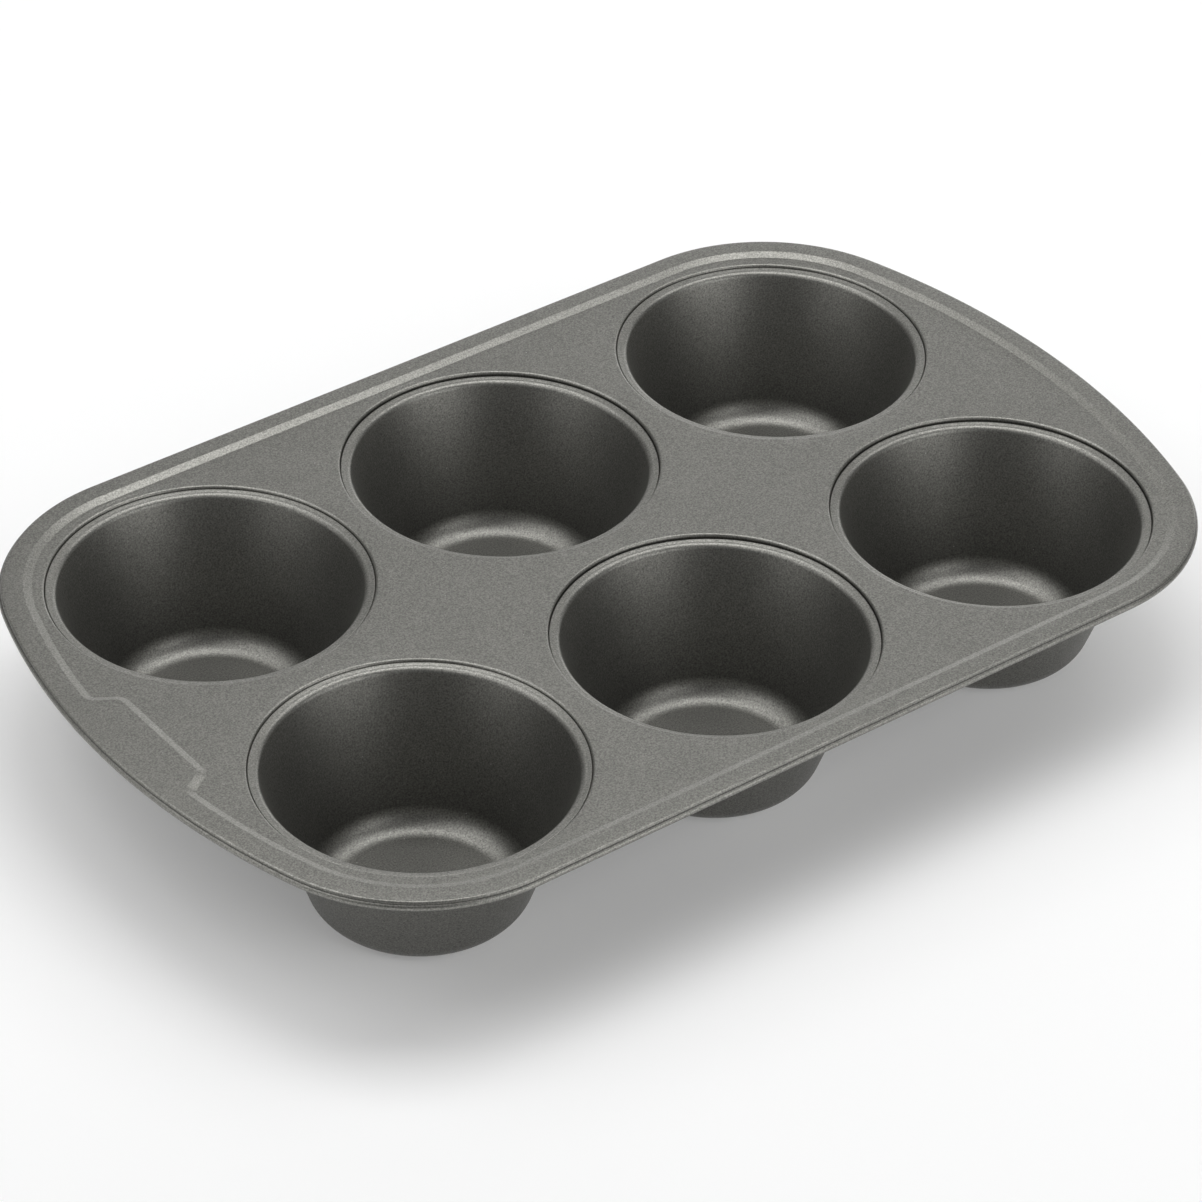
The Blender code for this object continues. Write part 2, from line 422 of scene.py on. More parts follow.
@dataclass
class Tray(Pressing):
    """The pressed tray: plate, six collared holes, stepped border and rolled rim.

    The half at +Y is worked out and mirrored. Its plate is three cells, one for each cup, whose
    rays run from the hole to the cell's edge: the lines midway between the cups, the middle of
    the pan, and the foot of the border's step.

    Attributes:
        seam: Sizes shared with the cups.
        outline: Outermost line of the rim.
        step_rise: Height of the border over the plate.
        step_run: Width of the step between the ends of its two bends.
        step_bend: Radius of these bends to the middle of the sheet.
        end_inset: How much wider the border is in the middle of the -X end.
        border_band: Width of the flat border.
        rim_bend: Outer radius of the bend over the rim.
        rim_neck: Height between that bend and the top of the bead, to the middle of the sheet.
        bead: Outer radius of the rolled bead.
        groove: Radius of the bend between neck and bead, to the middle of the sheet.
        panel_length: Length of the panel's straight line, to the middle of its ends.
        panel_depth: How far the panel reaches in from the step's even line.
        panel_corner: Radius of the corners at the panel's ends.
        panel_corner_turn: Turn of each of these corners in degrees.
        panel_leg: Straight stretch between two corners.
        foot_margin: Width of the outermost strip of a cell.
        lip: Outer radius of the lip of a hole.
        collar_margin: Length of the flat strip under the lip.
        dimple_radius: Radius at which the plate starts to dip towards a hole.
        dimple_foot: Radius at which the dip is full.
        dimple_drop: Depth of the dip.
        dimple_rings: Rows of points across the dip.
        foot_samples: Points tried along the foot of the step when rays are spread over it.
        ray_angle: Widest angle in degrees between two rays of a cell.
        turn_angle: Widest turn in degrees of the foot of the step between two rays.
    """

    node = "tray"
    slot = Slot.TRAY

    seam: Seam
    outline: Outline
    step_rise: float = 0.0011
    step_run: float = 0.0033
    step_bend: float = 0.0012
    end_inset: float = 0.0009
    border_band: float = 0.00583
    rim_bend: float = 0.0008
    rim_neck: float = 0.0005
    bead: float = 0.00117
    groove: float = 0.00034
    panel_length: float = 0.0532
    panel_depth: float = 0.0118
    panel_corner: float = 0.0042
    panel_corner_turn: float = 60.0
    panel_leg: float = 0.0065
    foot_margin: float = 0.0004
    lip: float = 0.0010
    collar_margin: float = 0.0001
    dimple_radius: float = 0.0595
    dimple_foot: float = 0.0572
    dimple_drop: float = 0.00012
    dimple_rings: int = 7
    foot_samples: int = 4001
    ray_angle: float = 2.4
    turn_angle: float = 5.0

    @property
    def top_inset(self) -> float:
        """How far the top of the step lies inside the outline."""
        return self.bead + self.rim_bend - self.seam.half_sheet + self.border_band

    def panel_share(self, across: np.ndarray) -> np.ndarray:
        """Work out how far the step has moved in towards the panel's straight line.

        Each end of the panel is a straight leg between two round corners. By the distance t
        from the leg's start across the pan, the first corner moves in by its radius less the
        root of the squares' difference of radius and t, the leg by the tangent of its turn,
        and the second half is the first one turned round.

        Args:
            across: Distances from the middle of the pan.

        Returns:
            Shares, 0 on the outer line and 1 on the panel's.
        """
        turn = math.radians(self.panel_corner_turn)
        run = 2.0 * self.panel_corner * math.sin(turn) + self.panel_leg * math.cos(turn)
        depth = 2.0 * self.panel_corner * (1.0 - math.cos(turn)) + self.panel_leg * math.sin(turn)
        start = np.clip((self.panel_length + run) / 2 - np.abs(across), 0.0, run)
        near = np.minimum(start, run - start)
        on_corner = np.minimum(near, self.panel_corner * math.sin(turn))
        moved = (self.panel_corner - np.sqrt(self.panel_corner ** 2 - on_corner ** 2)
                 + (near - on_corner) * math.tan(turn)) / depth
        return np.where(start < run / 2, moved, 1.0 - moved)

    def step_middle(self, lengths: np.ndarray) -> np.ndarray:
        """Find points on the middle of the step in plan.

        It follows the outline at an even inset, which grows towards the -X end by end_inset
        times the square of the outline's direction to -X. There it runs straight across inside
        the panel.

        Args:
            lengths: Lengths along the outline.

        Returns:
            Points in plan.
        """
        points, out = self.outline.at(lengths)
        inset = self.top_inset + self.step_run / 2
        extra = self.end_inset * np.maximum(-out[:, 0], 0.0) ** 2
        points = points - (inset + extra)[:, None] * out
        panel_x = -(self.outline.half_length - inset - self.panel_depth)
        share = np.where(points[:, 0] < 0.0, self.panel_share(points[:, 1]), 0.0)
        points[:, 0] += (panel_x - points[:, 0]) * share
        return points

    def step_at(self, lengths: np.ndarray) -> tuple:
        """Find the middle of the step and the directions up its slope in plan.

        A direction is square to the chord between two points a hair before and after.

        Args:
            lengths: Lengths along the outline.

        Returns:
            Points in plan, and unit directions square to the line, out of the pan.
        """
        hair = 0.00002
        along = self.step_middle(lengths + hair) - self.step_middle(lengths - hair)
        along /= np.linalg.norm(along, axis=1)[:, None]
        return self.step_middle(lengths), np.column_stack([along[:, 1], -along[:, 0]])

    def foot(self, lengths: np.ndarray) -> np.ndarray:
        """Return points on the foot of the step in plan."""
        middle, out = self.step_at(lengths)
        return middle - out * self.step_run / 2

    def foot_stations(self, start: float, end: float, axis: np.ndarray) -> np.ndarray:
        """Choose lengths along the outline at which rays from a cup meet the foot of the step.

        They are equally spaced in a measure that adds the angle that the ray sweeps and the
        angle that the foot turns, each over its own spacing.

        Args:
            start: First length.
            end: Last length.
            axis: The cup's axis in plan.

        Returns:
            The lengths, both ends included.
        """
        fine = np.linspace(start, end, self.foot_samples)
        foot = self.foot(fine)
        ray = foot - axis
        along = np.gradient(foot, axis=0)
        swept = np.abs(np.diff(np.unwrap(np.arctan2(ray[:, 1], ray[:, 0]))))
        turned = np.abs(np.diff(np.unwrap(np.arctan2(along[:, 1], along[:, 0]))))
        measure = swept / math.radians(self.ray_angle) + turned / math.radians(self.turn_angle)
        measure = np.concatenate([[0.0], np.cumsum(measure)])
        steps = math.ceil(measure[-1])
        return np.interp(np.linspace(0.0, measure[-1], steps + 1), measure, fine)

    def side_points(self, axis: np.ndarray, corners: np.ndarray) -> np.ndarray:
        """Find where evenly turned rays from a cup meet a straight side of its cell.

        A side along Y is met at its distance across times the tangent of the ray's angle, and
        one along X at its distance up over that tangent.

        Args:
            axis: The cup's axis in plan.
            corners: Both ends of the side, in the order of the walk round the cell.

        Returns:
            Points along the side without the last one.
        """
        rays = corners - axis
        first, last = np.unwrap(np.arctan2(rays[:, 1], rays[:, 0]))
        steps = math.ceil((last - first) / math.radians(self.ray_angle))
        angles = np.linspace(first, last, steps + 1)[:-1]
        upright = abs(corners[1, 0] - corners[0, 0]) < abs(corners[1, 1] - corners[0, 1])
        across, up = corners[0] - axis
        if upright:
            side_y = axis[1] + across * np.tan(angles)
            return np.column_stack([np.full(steps, corners[0, 0]), side_y])
        side_x = axis[0] + up / np.tan(angles)
        return np.column_stack([side_x, np.full(steps, corners[0, 1])])

    def collar(self) -> SheetSection:
        """Work out the section of a hole's lip, collar and hook, from the plate inwards.

        Returns:
            The section, by the distance from the hole's middle.
        """
        seam = self.seam
        section = SheetSection(seam.half_sheet)
        bend = self.lip - seam.half_sheet
        plate = seam.plate_top - seam.half_sheet - self.dimple_drop
        lip_centre = (seam.collar_radius + bend, plate - bend)
        # Painted highlight on the lip, then painted shade down the collar and hook, deep in the
        # seam.
        section.bend(lip_centre, bend, 90, 180, steps=7, outside=True, edges=(0.0, 1.0, -0.6))
        section.point((seam.collar_radius, plate - bend - self.collar_margin), (-1.0, 0.0),
                      edge=-1.0)
        section.bend(seam.hook_bend_centre, seam.hook_bend, 180, 270, steps=4, outside=True,
                     edges=DEEP_SHADE)
        section.point((seam.hook_end, seam.hook_height), (0.0, -1.0), edge=-1.0)
        return section

    def dimple_rows(self, axis: np.ndarray, border: np.ndarray) -> tuple:
        """Work out the rows of a plate cell from its edge to the lip of its hole.

        A row's height falls from the plate's by an eased share of the dimple's drop. The second
        row lies just inside the first, so that the shading of the step ends there.

        Args:
            axis: The cup's axis in plan.
            border: Points of the cell's edge in plan.

        Returns:
            Radii and drops below the plate, a row for each ring and a column for each ray.
        """
        reach = np.linalg.norm(border - axis, axis=1)
        outer = np.minimum(self.dimple_radius, reach - 2.0 * self.foot_margin)
        shares = np.linspace(0.0, 1.0, self.dimple_rings)[:, None]
        radii = outer + (self.dimple_foot - outer) * shares
        drops = self.dimple_drop * eased(shares) * np.ones(len(border))
        plate = np.vstack([reach, reach - self.foot_margin])
        return np.vstack([plate, radii]), np.vstack([np.zeros(plate.shape), drops])

    def add_cell(self, shell: Shell, axis: np.ndarray, border: np.ndarray) -> None:
        """Add the plate round one cup, with its hole.

        Point = axis + radius times the ray's direction. The rows run in over the plate, through
        the section of the lip, collar and hook, back on its other side and out to the edge.

        Args:
            shell: The tray so far.
            axis: The cup's axis in plan.
            border: Points of the cell's edge in plan, round the cell.
        """
        rays = border - axis
        rays /= np.linalg.norm(rays, axis=1)[:, None]
        radii, drops = self.dimple_rows(axis, border)
        section, light_paint = self.collar().loop()
        hole_radii = np.repeat(section[:, :1], len(border), axis=1)
        hole_heights = np.repeat(section[:, 1:], len(border), axis=1)
        top = self.seam.plate_top - drops
        radii = np.vstack([radii, hole_radii, radii[::-1]])
        heights = np.vstack([top, hole_heights, top[::-1] - self.seam.sheet])
        plan = axis + radii[..., None] * rays
        points = np.concatenate([plan, heights[..., None]], axis=-1)
        edges = np.concatenate([np.zeros(len(drops)), light_paint, np.zeros(len(drops))])
        shell.add(points.reshape(-1, 3), np.repeat(edges, len(border)),
                  grid_faces(len(radii), len(border), closed=True))

    def midway(self, column: Column, neighbour: Column) -> float:
        """Return where along X the line between two cells lies."""
        return (cup_axis(Row.BACK, column) + cup_axis(Row.BACK, neighbour))[0] / 2

    def cell_border(self, column: Column) -> tuple:
        """Walk round the edge of a cup's cell, against the clock from its lower right corner.

        Args:
            column: The cup's column, in the back row.

        Returns:
            Points of the edge in plan, and the outline lengths of those on the step's foot.
        """
        axis = cup_axis(Row.BACK, column)
        quarter = self.outline.quarter
        start, end = 0.0, 2 * quarter
        if column is not Column.RIGHT:
            neighbour = Column.RIGHT if column is Column.MIDDLE else Column.MIDDLE
            start = quarter - self.midway(column, neighbour)
        if column is not Column.LEFT:
            neighbour = Column.LEFT if column is Column.MIDDLE else Column.MIDDLE
            end = quarter - self.midway(column, neighbour)
        stations = self.foot_stations(start, end, axis)
        foot = self.foot(stations)
        low_right = np.array([foot[0, 0], 0.0])
        low_left = np.array([foot[-1, 0], 0.0])
        stretches = []
        if column is not Column.RIGHT:
            stretches.append(self.side_points(axis, np.array([low_right, foot[0]])))
        stretches.append(foot[:-1])
        if column is not Column.LEFT:
            stretches.append(self.side_points(axis, np.array([foot[-1], low_left])))
        stretches.append(self.side_points(axis, np.array([low_left, low_right])))
        return np.vstack(stretches), stations

    def step_section(self) -> SheetSection:
        """Work out the section of the step, by the distance out from its middle.

        The ramp is the common tangent of the bends at its foot and at its top: its slope is
        that of the line between their centres and the angle whose sine is twice their radius
        over that line's length.

        Returns:
            The section.
        """
        section = SheetSection(self.seam.half_sheet)
        plate = self.seam.plate_top - self.seam.half_sheet
        up = self.step_rise - 2.0 * self.step_bend
        lean = math.asin(2.0 * self.step_bend / math.hypot(self.step_run, up))
        slope = math.degrees(math.atan2(up, self.step_run) + lean)
        # Both bends of the step carry a painted highlight towards the ramp.
        section.bend((-self.step_run / 2, plate + self.step_bend), self.step_bend,
                     -90, slope - 90, steps=4, outside=False, edges=(0.0, 0.4, 0.7))
        section.bend((self.step_run / 2, plate + self.step_rise - self.step_bend),
                     self.step_bend, 90 + slope, 90, steps=4, outside=True,
                     edges=(0.7, 0.6, 0.0))
        return section

    def rim_section(self) -> SheetSection:
        """Work out the section of the rim, by the distance out from the outline.

        The sheet bends down from the border into a short neck, turns out through the groove,
        and is rolled out, down and back in, so that its raw edge is hidden under the border.
        The groove's centre lies its radius outside the neck, and its height is the one at which
        its arc meets the bead's.

        Returns:
            The section.
        """
        half_sheet = self.seam.half_sheet
        bend = self.rim_bend - half_sheet
        curl = self.bead - half_sheet
        bend_height = self.seam.plate_top - half_sheet + self.step_rise - bend
        bead_height = bend_height - self.rim_neck - curl
        groove_rise = math.sqrt(curl * curl + 2.0 * curl * self.groove)
        turn = math.degrees(math.atan2(groove_rise, self.groove))
        section = SheetSection(half_sheet)
        # Painted highlight on the rim's bend and the bead's top, painted shade on the neck and
        # groove.
        section.bend((-self.bead - bend, bend_height), bend, 90, 0, steps=9, outside=True,
                     edges=(0.0, 0.6, -0.7))
        section.bend((self.groove - self.bead, bead_height + groove_rise), self.groove,
                     180, 180 + turn, steps=5, outside=False, edges=(-0.9, -0.9, -0.9))
        section.bend((-self.bead, bead_height), curl, turn, 0, steps=8, outside=True,
                     edges=(-0.9, 1.0, 0.6))
        section.bend((-self.bead, bead_height), curl, 0, -180, steps=14, outside=True,
                     edges=(0.6, 0.0, 0.0))
        return section

    def add_rim(self, shell: Shell, lengths: np.ndarray) -> None:
        """Add the step, the border and the rolled rim along half the outline.

        Point = middle of the step + distance times its direction, or point of the outline +
        distance times its own. The rows run out on top and back underneath.

        Args:
            shell: The tray so far.
            lengths: Lengths along the outline, one for each column.
        """
        step_points, step_out = self.step_at(lengths)
        rim_points, rim_out = self.outline.at(lengths)
        step, rim = self.step_section(), self.rim_section()
        rows, edges = [], []
        for (line, base, out, edge) in (
                (step.faces()[0], step_points, step_out, np.concatenate(step.light_paint)),
                (rim.faces()[0], rim_points, rim_out, np.concatenate(rim.light_paint)),
                (rim.faces()[1][::-1], rim_points, rim_out, np.zeros(len(rim.faces()[1]))),
                (step.faces()[1][::-1], step_points, step_out, np.zeros(len(step.faces()[1])))):
            plan = base + line[:, None, :1] * out
            heights = np.broadcast_to(line[:, None, 1:], plan.shape[:2] + (1,))
            rows.append(np.concatenate([plan, heights], axis=-1))
            edges.append(edge)
        points = np.concatenate(rows)
        shell.add(points.reshape(-1, 3), np.repeat(np.concatenate(edges), len(lengths)),
                  grid_faces(len(points), len(lengths), closed=False))

    def build(self) -> bpy.types.Object:
        """Put the cells and the rim together and mirror them.

        Returns:
            The tray.
        """
        shell = Shell()
        lengths = []
        for column in Column:
            border, stations = self.cell_border(column)
            self.add_cell(shell, cup_axis(Row.BACK, column), border)
            lengths.append(stations)
        lengths = np.sort(np.concatenate(lengths))
        lengths = lengths[np.append(np.diff(lengths) > WELD, True)]
        self.add_rim(shell, lengths)
        shell.mirror_in_y()
        return shell.piece(f"{self.node}_sheet")


@dataclass
class Cup(Pressing):
    """A drawn cup: floor, fillet, tapered wall, flange, and the edge folded round the hook.

    The floor turns up in two arcs: floor_bend as far as floor_turn degrees, then floor_fillet.
    How far the flange lies below the plate differs from cup to cup, as they were pressed in.

    Attributes:
        seam: Sizes shared with the tray.
        row: The cup's row.
        column: The cup's column.
        floor_radius: Radius of the flat floor.
        floor_bend: Radius of the first arc, inside the cup.
        floor_turn: Slope in degrees at which the second arc takes over.
        floor_fillet: Radius of the second arc, inside the cup.
        floor_margin: Width of the ring along the edge of the flat floor.
        wall_ring: Share of the wall's height at which the shade near the floor has ended.
        mouth_bend: Radius of the bend from the wall into the flange, on the cup's inside.
        groove_bend: Radius of the groove in the flange, on its upper face.
        flange: Length of the straight slope between the groove and the shoulder.
        flange_slope: Slope of that stretch in degrees.
        groove_slope: Slope in degrees where the groove meets the mouth's bend.
        shoulder: Outer radius of the bend from the flange down into the skirt.
        floor_and_outside_shade: Light painted on the flat floor and the whole outside of the
        cup, -1 to 1; below 0 it is painted shade.
        rays: Points round the cup.
    """

    slot = Slot.CUP

    seam: Seam
    row: Row
    column: Column
    floor_radius: float = 0.0279
    floor_bend: float = 0.0087
    floor_turn: float = 37.0
    floor_fillet: float = 0.0108
    floor_margin: float = 0.0004
    wall_ring: float = 0.4
    mouth_bend: float = 0.0024
    groove_bend: float = 0.0022
    flange: float = 0.0009
    flange_slope: float = 15.0
    groove_slope: float = 4.0
    shoulder: float = 0.0004
    floor_and_outside_shade: float = -0.25
    rays: int = 192

    @property
    def node(self) -> str:
        """Name of the cup's node in the frame."""
        return cup_node(self.row, self.column)

    @property
    def flange_drop(self) -> float:
        """How far the top of the flange lies below the plate."""
        return SEAT_DROPS[self.row, self.column]

    def fillet_centres(self) -> tuple:
        """Work out the centres of the two arcs in which the floor turns up.

        The second lies on the line through the first and the point where they meet, so that
        they are tangent there.

        Returns:
            Both centres, across and up.
        """
        half_sheet = self.seam.half_sheet
        turn = math.radians(self.floor_turn - 90.0)
        first = np.array([self.floor_radius, 2.0 * half_sheet + self.floor_bend])
        beyond = self.floor_bend - self.floor_fillet
        return first, first + beyond * np.array([math.cos(turn), math.sin(turn)])

    def mouth_centres(self) -> tuple:
        """Work out the centres of the shoulder, the groove and the bend into the wall.

        From the shoulder the flange slopes in, the groove turns it nearly level, and the mouth's
        bend turns it down into the wall. Each centre lies square to the sheet from the end of
        the stretch before it.

        Returns:
            The three centres, across and up.
        """
        seam = self.seam
        slope = math.radians(90.0 + self.flange_slope)
        level = math.radians(90.0 + self.groove_slope)
        shoulder = self.shoulder - seam.half_sheet
        skirt = seam.hole_radius - seam.gap - seam.half_sheet
        square = np.array([math.cos(slope), math.sin(slope)])
        inwards = np.array([-math.sin(slope), math.cos(slope)])
        shoulder_centre = np.array([skirt - shoulder,
                                    seam.plate_top - self.flange_drop - self.shoulder])
        groove = self.groove_bend + seam.half_sheet
        groove_centre = shoulder_centre + (shoulder + groove) * square + self.flange * inwards
        reach = groove + self.mouth_bend - seam.half_sheet
        mouth_centre = groove_centre - reach * np.array([math.cos(level), math.sin(level)])
        return shoulder_centre, groove_centre, mouth_centre

    def section(self) -> SheetSection:
        """Work out the section from the edge of the flat floor to the folded edge.

        The wall is the common tangent of the fillet and the mouth's bend, which leave it on
        opposite sides: its angle is that of the line between their centres and the angle whose
        sine is the sum of their radii over that line's length. One point lies just inside the
        edge of the floor, so that the floor is shaded flat, and one on the wall.

        Returns:
            The section.
        """
        seam = self.seam
        fillet = self.floor_fillet + seam.half_sheet
        mouth = self.mouth_bend - seam.half_sheet
        floor_centre, fillet_centre = self.fillet_centres()
        shoulder_centre, groove_centre, mouth_centre = self.mouth_centres()
        across, up = mouth_centre - fillet_centre
        lean = math.asin((fillet + mouth) / math.hypot(across, up))
        wall = math.degrees(math.atan2(up, across) + lean)
        # The flat floor and the whole outside of the cup carry painted shade.
        section = SheetSection(seam.half_sheet, under=self.floor_and_outside_shade)
        section.point((self.floor_radius - self.floor_margin, seam.half_sheet), (0.0, 1.0),
                      edge=self.floor_and_outside_shade)
        section.bend(floor_centre, self.floor_bend + seam.half_sheet, -90,
                     self.floor_turn - 90, steps=6, outside=False,
                     edges=(self.floor_and_outside_shade, 0.0, 0.0))
        # Painted shade grows down the fillet to the foot of the wall and fades out up to wall_ring.
        section.bend(fillet_centre, fillet, self.floor_turn - 90, wall - 90, steps=10,
                     outside=False, edges=(0.0, 0.0, -0.55))
        ray = np.array([math.cos(math.radians(wall - 90)), math.sin(math.radians(wall - 90))])
        low, high = fillet_centre + fillet * ray, mouth_centre - mouth * ray
        section.point(low + self.wall_ring * (high - low), -ray)
        # Painted highlight over the mouth's bend and the flange, fading to painted shade at the
        # shoulder.
        section.bend(mouth_centre, mouth, wall + 90, 90 + self.groove_slope, steps=10,
                     outside=True, edges=(0.0, 0.5, 0.5))
        section.bend(groove_centre, self.groove_bend + seam.half_sheet,
                     270 + self.groove_slope, 270 + self.flange_slope, steps=4,
                     outside=False, edges=(0.5, 0.5, 0.5))
        section.bend(shoulder_centre, self.shoulder - seam.half_sheet,
                     90 + self.flange_slope, 0, steps=6, outside=True, edges=(0.5, 0.3, -0.3))
        section.bend(seam.hook_bend_centre, seam.hook_bend + seam.fold, 180, 270, steps=6,
                     outside=False, edges=DEEP_SHADE)
        section.bend((seam.hook_end, seam.hook_height), seam.fold, -90, 90, steps=10,
                     outside=False)
        end = seam.collar_radius + seam.half_sheet + seam.fold_clearance
        section.point((end, seam.hook_height + seam.fold), (0.0, -1.0))
        return section

    def build(self) -> bpy.types.Object:
        """Turn the section about the cup's axis and close both faces of the floor.

        Point = axis + radius times the cosine and sine of the ray's angle. Each face of the
        floor is a fan from one point on the axis.

        Returns:
            The cup.
        """
        section, light_paint = self.section().loop()
        angles = np.arange(self.rays) * 2.0 * math.pi / self.rays
        rays = np.column_stack([np.cos(angles), np.sin(angles)])
        axis = cup_axis(self.row, self.column)
        plan = axis + section[:, None, :1] * rays
        heights = np.broadcast_to(section[:, None, 1:], plan.shape[:2] + (1,))
        points = np.concatenate([plan, heights], axis=-1).reshape(-1, 3)
        shell = Shell()
        shell.add(points, np.repeat(light_paint, self.rays),
                  grid_faces(len(section), self.rays, closed=True))
        around = np.arange(self.rays)
        hub = np.zeros(self.rays, dtype=int)
        fan = np.column_stack([hub, 1 + np.roll(around, -1), 1 + around])
        for ring in (0, len(section) - 1):
            centre = np.array([[axis[0], axis[1], section[ring, 1]]])
            disc = np.vstack([centre, points[ring * self.rays + around]])
            shell.add(disc, np.full(len(disc), light_paint[ring]), fan)
        return shell.piece(f"{self.node}_sheet")


class NodeGraph:
    """The nodes of a material or a world, added and wired one call at a time."""

    def __init__(self, owner: bpy.types.Material | bpy.types.World) -> None:
        """Start from an empty graph.

        Args:
            owner: The material or world that gets the nodes.
        """
        owner.use_nodes = True
        self.tree = owner.node_tree
        self.tree.nodes.clear()

    def add(self, kind: str, settings: dict | None = None, **inputs: object) -> bpy.types.Node:
        """Add a node.

        Args:
            kind: Blender's name for it, without the leading ShaderNode.
            settings: Its own properties.
            **inputs: Its inputs by name, with _ for a space, or in0, in1 by place. A socket is
                linked and anything else is set.

        Returns:
            The node.
        """
        node = self.tree.nodes.new("ShaderNode" + kind)
        for name, value in (settings or {}).items():
            setattr(node, name, value)
        for name, value in inputs.items():
            by_place = name.startswith("in") and name[2:].isdigit()
            socket = node.inputs[int(name[2:]) if by_place else name.replace("_", " ")]
            if isinstance(value, Socket):
                self.tree.links.new(value, socket)
            else:
                socket.default_value = value
        return node

    def noise(self, place: Socket, size: float, detail: float = 2.0) -> Socket:
        """Return the value of a noise whose blots are about the given size in metres."""
        return self.add("TexNoise", Vector=place, Scale=1.0 / size, Detail=detail).outputs["Fac"]

    def remap(self, value: Socket, low: float, high: float, to_low: float,
              to_high: float) -> Socket:
        """Return a value carried from one range to another, held at the ends."""
        return self.add("MapRange", Value=value, From_Min=low, From_Max=high, To_Min=to_low,
                        To_Max=to_high).outputs["Result"]

    def math(self, operation: str, first: Socket | float, second: Socket | float) -> Socket:
        """Return the result of a Math node's operation on two values or sockets."""
        return self.add("Math", {"operation": operation}, in0=first, in1=second).outputs[0]


@dataclass(frozen=True)
class CoatedSteel:
    """Non-stick coating on steel: satin warm grey with fine metallic grain.

    Sizes are in metres and contrasts are shares of the coating's own brightness.

    Attributes:
        name: The material's name.
        colour: Linear colour of the coating.
        metallic: How much it shines as metal does.
        roughness: Mean roughness.
        roughness_swing: How much rougher and smoother the grain is.
        grain: Size of the grain.
        grain_contrast: How much lighter and darker the grain is.
        grain_height: Height of the grain's bumps.
        grain_bump: How strongly the bumps turn the light.
        blotch: Size of the soft unevenness of the spray.
        blotch_contrast: How much lighter and darker that is.
        fleck_spacing: Distance between flecks before most of them are left out.
        fleck_core: Radius of a bright fleck as a share of that distance.
        fleck_rim: Radius at which a fleck has faded out, as such a share.
        flecks_left_out: Share of the flecks that are left out.
        fleck_colour: Linear colour of a fleck.
        edge_lift: How much lighter the coating is painted on bends, as a highlight.
        edge_polish: How much smoother it is where that highlight is painted, rougher in shade.
        crevice_shade: How much darker it is painted deep in a crevice, as shade.
    """

    name: str
    colour: tuple
    metallic: float = 0.85
    roughness: float = 0.42
    roughness_swing: float = 0.05
    grain: float = 0.00055
    grain_contrast: float = 0.47
    grain_height: float = 0.00006
    grain_bump: float = 0.4
    blotch: float = 0.012
    blotch_contrast: float = 0.03
    fleck_spacing: float = 0.004
    fleck_core: float = 0.03
    fleck_rim: float = 0.055
    flecks_left_out: float = 0.75
    fleck_colour: tuple = (0.5, 0.5, 0.48, 1.0)
    edge_lift: float = 0.22
    edge_polish: float = 0.04
    crevice_shade: float = 0.65

    def tone(self, graph: NodeGraph, place: Socket, grain: Socket, edge: Socket) -> Socket:
        """Work out how light the coating is, as a factor on its colour.

        It is the product of the grain's contrast, the blotches', the painted highlight on bends
        and the painted shade in crevices.

        Args:
            graph: The material's nodes.
            place: The piece's own coordinates.
            grain: The grain's noise.
            edge: Light painted on the surface: below 0 painted shade, above 0 a highlight.

        Returns:
            The factor.
        """
        contrast, drift = self.grain_contrast, self.blotch_contrast
        blotch = graph.noise(place, self.blotch)
        factors = (graph.remap(grain, *GRAIN_SPAN, 1.0 - contrast, 1.0 + contrast),
                   graph.remap(blotch, *BLOTCH_SPAN, 1.0 - drift, 1.0 + drift),
                   # Painted highlight above 0 and painted shade below 0 of the painted light per
                   # point.
                   graph.remap(edge, 0.0, 1.0, 1.0, 1.0 + self.edge_lift),
                   graph.remap(edge, -1.0, 0.0, 1.0 - self.crevice_shade, 1.0))
        tone = factors[0]
        for factor in factors[1:]:
            tone = graph.math("MULTIPLY", tone, factor)
        return tone

    def fleck(self, graph: NodeGraph, place: Socket) -> Socket:
        """Work out where the bright flecks are: at the middles of a few random cells.

        Args:
            graph: The material's nodes.
            place: The piece's own coordinates.

        Returns:
            How much of a fleck there is, 0 to 1.
        """
        cells = graph.add("TexVoronoi", {"feature": "F1"}, Vector=place,
                          Scale=1.0 / self.fleck_spacing)
        pick = graph.add("SeparateColor", Color=cells.outputs["Color"]).outputs[0]
        near = graph.remap(cells.outputs["Distance"], self.fleck_core, self.fleck_rim, 1.0, 0.0)
        return graph.math("MULTIPLY", near,
                          graph.math("GREATER_THAN", pick, self.flecks_left_out))

    def build(self) -> bpy.types.Material:
        """Make the material.

        Of the Mix node's sockets, inputs 6 and 7 and output 2 are the ones for colours.

        Returns:
            The material, all of whose patterns are in the piece's own coordinates.
        """
        material = bpy.data.materials.new(self.name)
        graph = NodeGraph(material)
        place = graph.add("TexCoord").outputs["Object"]
        grain = graph.noise(place, self.grain, detail=3.0)
        # Light painted at each point of the piece: highlight above 0, shade below.
        edge = graph.add("Attribute", {"attribute_name": "edge"}).outputs["Fac"]
        coat = graph.add("VectorMath", {"operation": "SCALE"}, in0=self.colour,
                         Scale=self.tone(graph, place, grain, edge))
        colour = graph.add("Mix", {"data_type": "RGBA"}, in0=self.fleck(graph, place),
                           in6=coat.outputs[0], in7=self.fleck_colour).outputs[2]
        rough = graph.remap(grain, *GRAIN_SPAN, self.roughness + self.roughness_swing,
                            self.roughness - self.roughness_swing)
        rough = graph.math("SUBTRACT", rough, graph.math("MULTIPLY", edge, self.edge_polish))
        bump = graph.add("Bump", Strength=self.grain_bump, Distance=self.grain_height,
                         Height=grain)
        shader = graph.add("BsdfPrincipled", Base_Color=colour, Metallic=self.metallic,
                           Roughness=rough, Normal=bump.outputs["Normal"])
        graph.add("OutputMaterial", Surface=shader.outputs[0])
        return material


